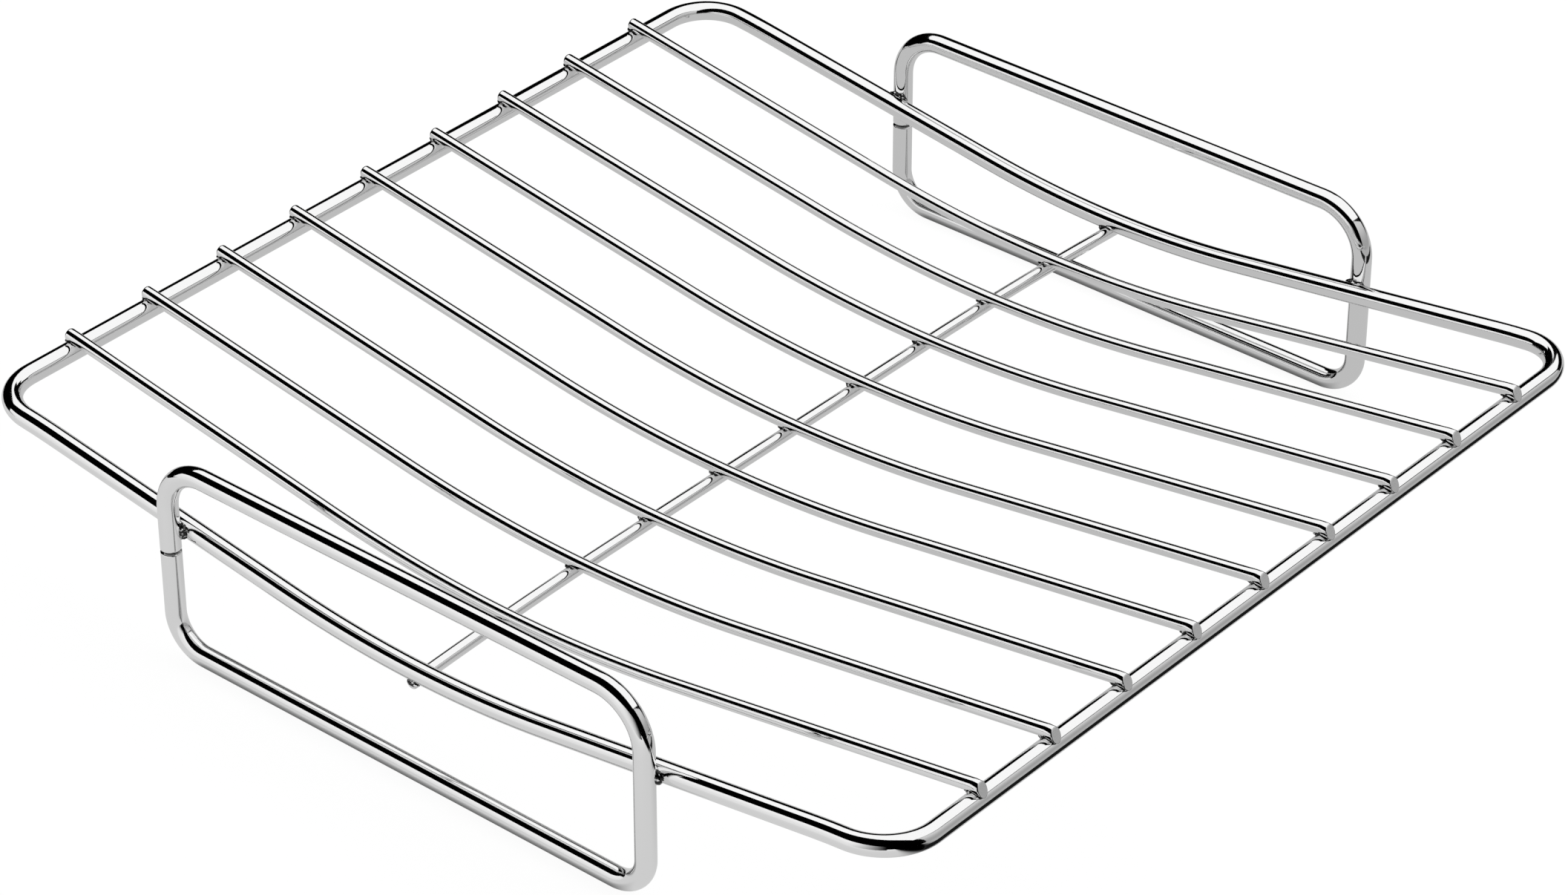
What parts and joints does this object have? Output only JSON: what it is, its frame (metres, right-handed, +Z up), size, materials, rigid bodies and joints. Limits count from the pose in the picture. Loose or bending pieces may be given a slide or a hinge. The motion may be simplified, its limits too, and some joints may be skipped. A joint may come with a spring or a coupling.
{
  "type": "wire rack",
  "caption": "Dished wire grill rack of polished round rod, with cross wires on a rounded frame, a crossbar below them, and upright loops that are legs and handles.",
  "frame": {"origin": "on the surface that the loops stand on, below the middle of the rack", "axes": "+X along the wires, towards the rail with the square cut wire ends; +Y along the rails, from the front loop to the back loop; +Z up"},
  "size_m": [0.278, 0.2686, 0.055],
  "materials": {
    "polished_rod": "polished bright plate with fine scratches, duller at the welds"
  },
  "bodies": {
    "root": {"frame": "polished_rod", "cross_wire_1": "polished_rod", "cross_wire_2": "polished_rod", "cross_wire_3": "polished_rod", "cross_wire_4": "polished_rod", "cross_wire_5": "polished_rod", "cross_wire_6": "polished_rod", "cross_wire_7": "polished_rod", "cross_wire_8": "polished_rod", "cross_wire_9": "polished_rod", "crossbar": "polished_rod", "front_loop": "polished_rod", "back_loop": "polished_rod"}
  },
  "joints": []
}
